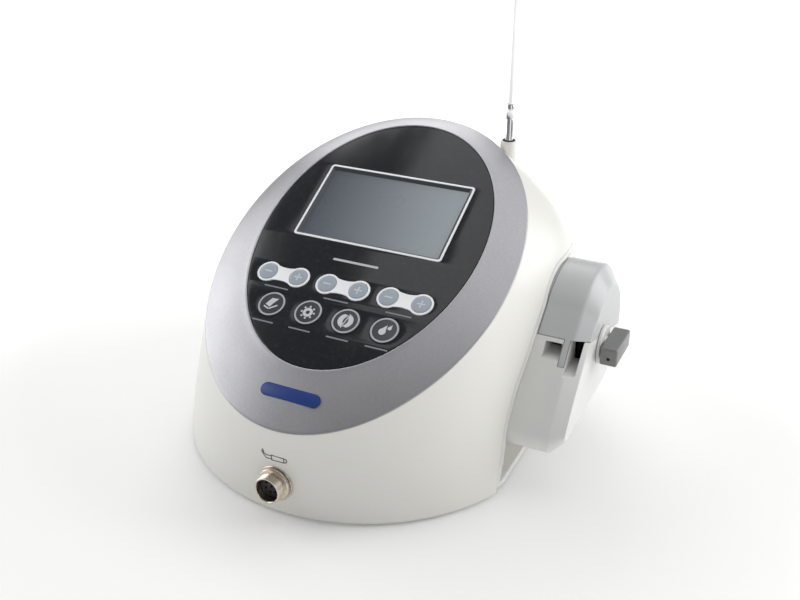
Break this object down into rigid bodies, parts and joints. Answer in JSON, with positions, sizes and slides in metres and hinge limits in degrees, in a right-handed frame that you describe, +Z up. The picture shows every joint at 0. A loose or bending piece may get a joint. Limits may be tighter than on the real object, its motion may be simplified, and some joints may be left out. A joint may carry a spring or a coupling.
{
  "type": "dental surgical motor console",
  "caption": "Desktop console for a dental surgical motor, with a sloping oval control panel, a side peristaltic pump with a hinged cover, a front motor socket and a telescopic drip pole.",
  "frame": {"origin": "underside of the base plate, straight below the centre of the display", "axes": "+Z up, -Y towards the operator, +X towards the pump side"},
  "size_m": [0.2593, 0.2594, 0.3258],
  "materials": {
    "white_abs": "warm white moulded housing, fine satin texture",
    "silver_paint": "silver-grey painted plastic, satin",
    "black_face": "glossy black panel",
    "display_glass": "blue-grey liquid crystal window",
    "white_print": "smooth white",
    "key_blue_grey": "light blue-grey key",
    "key_dark": "dark grey key",
    "pump_grey": "mid grey moulded plastic",
    "nickel": "nickel plated, machined",
    "steel": "polished stainless steel",
    "black_plastic": "black moulded plastic",
    "rubber": "black rubber",
    "board_green": "green circuit board",
    "sheet_metal": "plain grey sheet metal",
    "roller_white": "natural acetal"
  },
  "bodies": {
    "console": {"upper_housing": "white_abs", "base_plate": "white_abs", "pump_bay": "white_abs", "pump_housing": "white_abs", "fascia_ring": "silver_paint", "black_face": "black_face", "display_border": "white_print", "display_window": "display_glass", "display_module": "sheet_metal", "key_board": "board_green", "main_board": "board_green", "power_supply": "sheet_metal", "buzzer": "black_plastic", "motor_socket_barrel": "nickel", "motor_socket_insert": "black_plastic", "motor_socket_nut": "nickel", "pump_bracket": "pump_grey", "hinge_pin": "steel", "pump_motor": "sheet_metal", "rear_panel": "sheet_metal", "mains_inlet": "black_plastic", "switch_body": "black_plastic", "pedal_socket": "nickel", "earth_stud": "nickel", "pole_socket": "pump_grey", "foot_1": "rubber", "base_screw_1": "steel", "foot_2": "rubber", "base_screw_2": "steel", "foot_3": "rubber", "base_screw_3": "steel", "foot_4": "rubber", "base_screw_4": "steel", "program_bezel": "white_print", "speed_bezel": "white_print", "torque_bezel": "white_print"},
    "cover": {"pump_cover": "pump_grey"},
    "latch": {"cover_latch": "pump_grey"},
    "rotor": {"pump_rotor": "black_plastic", "pump_shaft": "steel"},
    "switch_rocker": {"power_switch": "black_plastic"},
    "fuse_holder": {"fuse_drawer": "black_plastic"},
    "pole_lower": {"pole_tube": "steel"},
    "pole_upper": {"pole_rod": "steel"},
    "roller_1": {"roller_1": "roller_white"},
    "roller_2": {"roller_2": "roller_white"},
    "roller_3": {"roller_3": "roller_white"},
    "program_down_key": {"program_down_key": "key_blue_grey"},
    "program_up_key": {"program_up_key": "key_blue_grey"},
    "speed_down_key": {"speed_down_key": "key_blue_grey"},
    "speed_up_key": {"speed_up_key": "key_blue_grey"},
    "torque_down_key": {"torque_down_key": "key_blue_grey"},
    "torque_up_key": {"torque_up_key": "key_blue_grey"},
    "memory_key": {"memory_key": "key_dark"},
    "gear_key": {"gear_key": "key_dark"},
    "direction_key": {"direction_key": "key_dark"},
    "coolant_key": {"coolant_key": "key_dark"}
  },
  "joints": [
    {"name": "cover_hinge", "type": "hinge", "parent": "console", "child": "cover", "pos_m": [0.115, 0.073, 0.05436], "axis": [-1, 0, 0], "range_deg": [0, 95]},
    {"name": "latch_turn", "type": "hinge", "parent": "console", "child": "latch", "pos_m": [0.1343, 0.015, 0.0645], "axis": [1, 0, 0], "range_deg": [0, 90]},
    {"name": "rotor_spin", "type": "hinge", "parent": "console", "child": "rotor", "pos_m": [0.117, 0.02, 0.06], "axis": [1, 0, 0], "continuous": true},
    {"name": "roller_1_spin", "type": "hinge", "parent": "rotor", "child": "roller_1", "pos_m": [0.117, 0.02, 0.075], "axis": [1, 0, 0], "continuous": true},
    {"name": "roller_2_spin", "type": "hinge", "parent": "rotor", "child": "roller_2", "pos_m": [0.117, 0.00701, 0.0525], "axis": [1, 0, 0], "continuous": true},
    {"name": "roller_3_spin", "type": "hinge", "parent": "rotor", "child": "roller_3", "pos_m": [0.117, 0.03299, 0.0525], "axis": [1, 0, 0], "continuous": true},
    {"name": "program_down_key_press", "type": "slide", "parent": "console", "child": "program_down_key", "axis": [0, 0.4756, -0.8796], "range_m": [0, 0.0005], "stiffness_N_per_m": 2000, "springref_m": -0.0006},
    {"name": "program_up_key_press", "type": "slide", "parent": "console", "child": "program_up_key", "axis": [0, 0.4756, -0.8796], "range_m": [0, 0.0005], "stiffness_N_per_m": 2000, "springref_m": -0.0006},
    {"name": "speed_down_key_press", "type": "slide", "parent": "console", "child": "speed_down_key", "axis": [0, 0.4756, -0.8796], "range_m": [0, 0.0005], "stiffness_N_per_m": 2000, "springref_m": -0.0006},
    {"name": "speed_up_key_press", "type": "slide", "parent": "console", "child": "speed_up_key", "axis": [0, 0.4756, -0.8796], "range_m": [0, 0.0005], "stiffness_N_per_m": 2000, "springref_m": -0.0006},
    {"name": "torque_down_key_press", "type": "slide", "parent": "console", "child": "torque_down_key", "axis": [0, 0.4756, -0.8796], "range_m": [0, 0.0005], "stiffness_N_per_m": 2000, "springref_m": -0.0006},
    {"name": "torque_up_key_press", "type": "slide", "parent": "console", "child": "torque_up_key", "axis": [0, 0.4756, -0.8796], "range_m": [0, 0.0005], "stiffness_N_per_m": 2000, "springref_m": -0.0006},
    {"name": "memory_key_press", "type": "slide", "parent": "console", "child": "memory_key", "axis": [0, 0.4756, -0.8796], "range_m": [0, 0.0005], "stiffness_N_per_m": 2000, "springref_m": -0.0006},
    {"name": "gear_key_press", "type": "slide", "parent": "console", "child": "gear_key", "axis": [0, 0.4756, -0.8796], "range_m": [0, 0.0005], "stiffness_N_per_m": 2000, "springref_m": -0.0006},
    {"name": "direction_key_press", "type": "slide", "parent": "console", "child": "direction_key", "axis": [0, 0.4756, -0.8796], "range_m": [0, 0.0005], "stiffness_N_per_m": 2000, "springref_m": -0.0006},
    {"name": "coolant_key_press", "type": "slide", "parent": "console", "child": "coolant_key", "axis": [0, 0.4756, -0.8796], "range_m": [0, 0.0005], "stiffness_N_per_m": 2000, "springref_m": -0.0006},
    {"name": "switch_rock", "type": "hinge", "parent": "console", "child": "switch_rocker", "pos_m": [-0.009, 0.1046, 0.038], "axis": [-1, 0, 0], "range_deg": [0, 14]},
    {"name": "fuse_slide", "type": "slide", "parent": "console", "child": "fuse_holder", "axis": [0, 1, 0], "range_m": [0, 0.016]},
    {"name": "pole_lift", "type": "slide", "parent": "console", "child": "pole_lower", "axis": [0, 0, 1], "range_m": [0, 0.05]},
    {"name": "rod_extend", "type": "slide", "parent": "pole_lower", "child": "pole_upper", "axis": [0, 0, 1], "range_m": [0, 0.05]}
  ],
  "couplings": [
    {"joint": "roller_1_spin", "follows": "rotor_spin", "ratio": -3.5},
    {"joint": "roller_2_spin", "follows": "rotor_spin", "ratio": -3.5},
    {"joint": "roller_3_spin", "follows": "rotor_spin", "ratio": -3.5}
  ]
}
